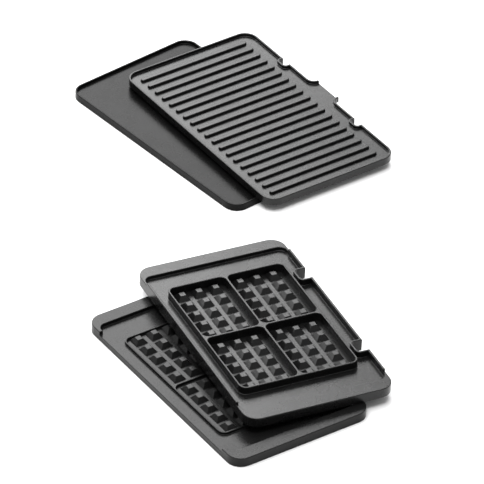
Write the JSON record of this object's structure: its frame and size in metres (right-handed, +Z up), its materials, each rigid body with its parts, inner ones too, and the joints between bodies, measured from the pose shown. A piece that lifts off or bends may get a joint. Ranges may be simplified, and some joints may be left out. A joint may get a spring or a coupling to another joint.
{
  "type": "contact grill plate set",
  "caption": "Loose non-stick cooking plates of a contact grill: plain griddle, ribbed grill and waffle plates with latch notches, stacked in pairs.",
  "frame": {"origin": "centre of the set's box, at the surface that the two bottom plates rest on", "axes": "+Z up; +Y from the waffle pair to the griddle pair; +X to the right"},
  "size_m": [0.3678, 0.8034, 0.0308],
  "materials": {
    "griddle_coating": "satin",
    "grill_coating": "satin",
    "lower_waffle_coating": "satin",
    "upper_waffle_coating": "satin"
  },
  "bodies": {
    "griddle": {"griddle_plate": "griddle_coating"},
    "grill": {"grill_plate": "grill_coating"},
    "lower_waffle": {"lower_waffle_plate": "lower_waffle_coating"},
    "upper_waffle": {"upper_waffle_plate": "upper_waffle_coating"}
  },
  "joints": [
    {"name": "grill_plate_lift", "type": "slide", "parent": "griddle", "child": "grill", "axis": [0, 0, 1], "range_m": [0, 0.12]},
    {"name": "lower_waffle_plate_lift", "type": "slide", "parent": "griddle", "child": "lower_waffle", "axis": [0, 0, 1], "range_m": [0, 0.12]},
    {"name": "upper_waffle_plate_lift", "type": "slide", "parent": "lower_waffle", "child": "upper_waffle", "axis": [0, 0, 1], "range_m": [0, 0.12]}
  ]
}
